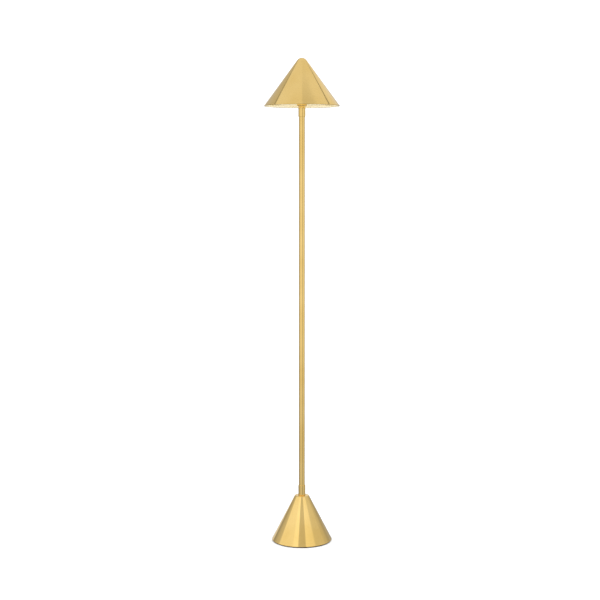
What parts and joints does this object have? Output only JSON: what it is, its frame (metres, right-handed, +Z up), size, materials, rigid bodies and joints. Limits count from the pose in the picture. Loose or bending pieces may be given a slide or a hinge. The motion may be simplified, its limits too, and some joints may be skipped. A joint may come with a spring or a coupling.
{
  "type": "floor lamp",
  "caption": "Tall slim floor lamp: a brass cone shade on a straight tube that rises from a weighted brass cone base.",
  "frame": {"origin": "on the floor, at the centre of the base, under the stem", "axes": "+Z up along the stem; +Y to the back, where the cord enters the base; +X to the right seen from the front"},
  "size_m": [0.225, 0.225, 1.45],
  "materials": {
    "polished_brass": "satin-polished, lacquered",
    "contact_brass": "plain",
    "zinc_steel": "zinc-plated",
    "cast_weight": "rough, as cast",
    "dark_felt": "matt",
    "black_moulding": "fine matt",
    "steel_shaft": "turned",
    "cream_enamel": "satin enamel",
    "white_moulding": "smooth",
    "white_flex": "smooth",
    "earth_flex": "green with a yellow stripe",
    "nickel_cap": "nickel-plated",
    "opal_glass": "opal white"
  },
  "bodies": {
    "lamp": {"shade": "polished_brass", "base_cone": "polished_brass", "stem_tube": "polished_brass", "lower_collar": "polished_brass", "upper_collar": "polished_brass", "socket_cup": "polished_brass", "screw_shell": "contact_brass", "centre_contact": "contact_brass", "terminal_screws": "contact_brass", "earth_screw": "contact_brass", "base_plate": "zinc_steel", "plate_screws": "zinc_steel", "base_nipple": "zinc_steel", "base_washer": "zinc_steel", "base_nut": "zinc_steel", "upper_nipple": "zinc_steel", "cup_nut": "zinc_steel", "collar_screws": "zinc_steel", "base_weight": "cast_weight", "base_pad": "dark_felt", "cord_bushing": "black_moulding", "switch_housing": "black_moulding", "lampholder_body": "black_moulding", "shade_ring": "black_moulding", "shade_carrier": "cream_enamel", "terminal_block": "white_moulding", "bulb_collar": "white_moulding", "inner_lead": "white_flex", "earth_lead": "earth_flex", "bulb_cap": "nickel_cap", "bulb_globe": "opal_glass"},
    "switch_key": {"switch_spindle": "steel_shaft", "switch_knob": "black_moulding"}
  },
  "joints": [
    {"name": "switch_turn", "type": "hinge", "parent": "lamp", "child": "switch_key", "pos_m": [0, -0.02, 1.3245], "axis": [0, -1, 0], "continuous": true}
  ]
}
